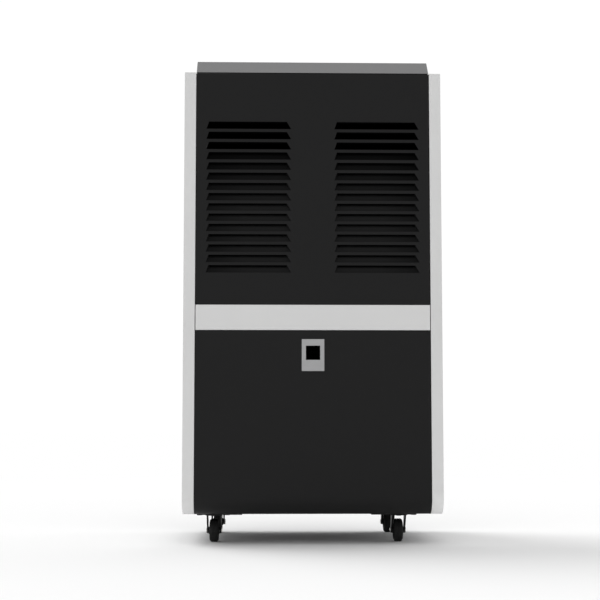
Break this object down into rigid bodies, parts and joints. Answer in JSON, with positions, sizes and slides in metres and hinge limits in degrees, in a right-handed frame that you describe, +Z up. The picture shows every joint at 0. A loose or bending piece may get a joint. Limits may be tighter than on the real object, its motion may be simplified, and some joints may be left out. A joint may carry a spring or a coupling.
{
  "type": "dehumidifier",
  "caption": "Tall commercial dehumidifier cabinet on swivel casters, with louvred air outlets, a pull-out intake filter, a latched lower access door and a recessed drain outlet.",
  "frame": {"origin": "on the floor below the middle of the cabinet", "axes": "+Z up; -Y out of the louvred outlet face that the picture shows; +Y out of the air intake face; +X to the right of someone looking at the louvres"},
  "size_m": [0.56, 0.4104, 1.058],
  "materials": {
    "cabinet_black": "fine satin powder coat",
    "cabinet_light": "light grey satin paint",
    "roof_grey": "fine-textured mid grey moulding",
    "latch_grey": "satin grey escutcheon",
    "zinc_sheet": "galvanised",
    "steel_pin": "bright zinc plated",
    "black_plastic": "moulded, light grain",
    "dark_plastic": "moulded, light grain",
    "filter": "washable fine mesh",
    "lens": "dark glossy display window",
    "button_light": "smooth",
    "compressor_black": "gloss black enamel",
    "rubber_black": "matt",
    "fins": "stamped fins, bare",
    "copper_tube": "bare copper, slightly tarnished",
    "hose_clear": "translucent soft hose",
    "motor_case": "grey enamel",
    "caster_black": "black finish over pressed steel",
    "tread": "smooth hard tread"
  },
  "bodies": {
    "cabinet": {"base_pan": "zinc_sheet", "frame": "zinc_sheet", "mid_deck": "zinc_sheet", "side_panel_left": "cabinet_light", "side_panel_right": "cabinet_light", "outlet_panel": "cabinet_black", "belt_band": "cabinet_light", "hinge_pins": "steel_pin", "top_cap": "roof_grey", "intake_panel": "cabinet_black", "service_panel": "cabinet_black", "panel_screws": "steel_pin", "grip_cups": "dark_plastic", "control_bezel": "black_plastic", "display_lens": "lens", "compressor": "compressor_black", "grommets": "rubber_black", "accumulator": "compressor_black", "evaporator_fins": "fins", "evaporator_tubes": "copper_tube", "condenser_fins": "fins", "condenser_tubes": "copper_tube", "discharge_pipe": "copper_tube", "suction_pipe": "copper_tube", "liquid_line": "copper_tube", "drip_tray": "dark_plastic", "drain_hose": "hose_clear", "drain_nozzle": "dark_plastic", "fan_motor": "motor_case", "motor_bracket": "zinc_sheet", "scroll_housings": "zinc_sheet", "control_box": "zinc_sheet", "power_cord": "rubber_black", "cord_cleats": "dark_plastic", "caster_plates": "caster_black"},
    "door": {"access_door": "cabinet_black", "latch_plate": "latch_grey", "latch_cup": "black_plastic"},
    "latch": {"latch_knob": "black_plastic", "latch_cam": "steel_pin"},
    "filter": {"filter_frame": "dark_plastic", "filter_mesh": "filter"},
    "rotor": {"fan_shaft": "steel_pin", "blower_wheels": "dark_plastic"},
    "power_key": {"button_power": "button_light"},
    "mode_key": {"button_mode": "button_light"},
    "up_key": {"button_up": "button_light"},
    "down_key": {"button_down": "button_light"},
    "fork_fl": {"caster_fork_fl": "caster_black", "caster_axle_fl": "steel_pin"},
    "wheel_fl": {"caster_wheel_fl": "tread"},
    "fork_fr": {"caster_fork_fr": "caster_black", "caster_axle_fr": "steel_pin"},
    "wheel_fr": {"caster_wheel_fr": "tread"},
    "fork_rl": {"caster_fork_rl": "caster_black", "caster_axle_rl": "steel_pin"},
    "wheel_rl": {"caster_wheel_rl": "tread"},
    "fork_rr": {"caster_fork_rr": "caster_black", "caster_axle_rr": "steel_pin"},
    "wheel_rr": {"caster_wheel_rr": "tread"}
  },
  "joints": [
    {"name": "door_hinge", "type": "hinge", "parent": "cabinet", "child": "door", "pos_m": [0, -0.19, 0.092], "axis": [1, 0, 0], "range_deg": [0, 75]},
    {"name": "latch_turn", "type": "hinge", "parent": "door", "child": "latch", "pos_m": [0, -0.19, 0.41055], "axis": [0, -1, 0], "range_deg": [0, 90]},
    {"name": "filter_pull", "type": "slide", "parent": "cabinet", "child": "filter", "axis": [0, 1, 0], "range_m": [0, 0.04]},
    {"name": "blower_spin", "type": "hinge", "parent": "cabinet", "child": "rotor", "pos_m": [0, -0.054, 0.76], "axis": [1, 0, 0], "continuous": true},
    {"name": "power_press", "type": "slide", "parent": "cabinet", "child": "power_key", "axis": [0, -0.3477, -0.9376], "range_m": [0, 0.0015], "stiffness_N_per_m": 400},
    {"name": "mode_press", "type": "slide", "parent": "cabinet", "child": "mode_key", "axis": [0, -0.3477, -0.9376], "range_m": [0, 0.0015], "stiffness_N_per_m": 400},
    {"name": "up_press", "type": "slide", "parent": "cabinet", "child": "up_key", "axis": [0, -0.3477, -0.9376], "range_m": [0, 0.0015], "stiffness_N_per_m": 400},
    {"name": "down_press", "type": "slide", "parent": "cabinet", "child": "down_key", "axis": [0, -0.3477, -0.9376], "range_m": [0, 0.0015], "stiffness_N_per_m": 400},
    {"name": "swivel_fl", "type": "hinge", "parent": "cabinet", "child": "fork_fl", "pos_m": [-0.214, -0.128, 0.057], "axis": [0, 0, 1], "continuous": true},
    {"name": "roll_fl", "type": "hinge", "parent": "fork_fl", "child": "wheel_fl", "pos_m": [-0.214, -0.104, 0.025], "axis": [1, 0, 0], "continuous": true},
    {"name": "swivel_fr", "type": "hinge", "parent": "cabinet", "child": "fork_fr", "pos_m": [0.19, -0.128, 0.057], "axis": [0, 0, 1], "continuous": true},
    {"name": "roll_fr", "type": "hinge", "parent": "fork_fr", "child": "wheel_fr", "pos_m": [0.19, -0.104, 0.025], "axis": [1, 0, 0], "continuous": true},
    {"name": "swivel_rl", "type": "hinge", "parent": "cabinet", "child": "fork_rl", "pos_m": [-0.214, 0.128, 0.057], "axis": [0, 0, 1], "continuous": true},
    {"name": "roll_rl", "type": "hinge", "parent": "fork_rl", "child": "wheel_rl", "pos_m": [-0.214, 0.152, 0.025], "axis": [1, 0, 0], "continuous": true},
    {"name": "swivel_rr", "type": "hinge", "parent": "cabinet", "child": "fork_rr", "pos_m": [0.19, 0.128, 0.057], "axis": [0, 0, 1], "continuous": true},
    {"name": "roll_rr", "type": "hinge", "parent": "fork_rr", "child": "wheel_rr", "pos_m": [0.19, 0.152, 0.025], "axis": [1, 0, 0], "continuous": true}
  ]
}
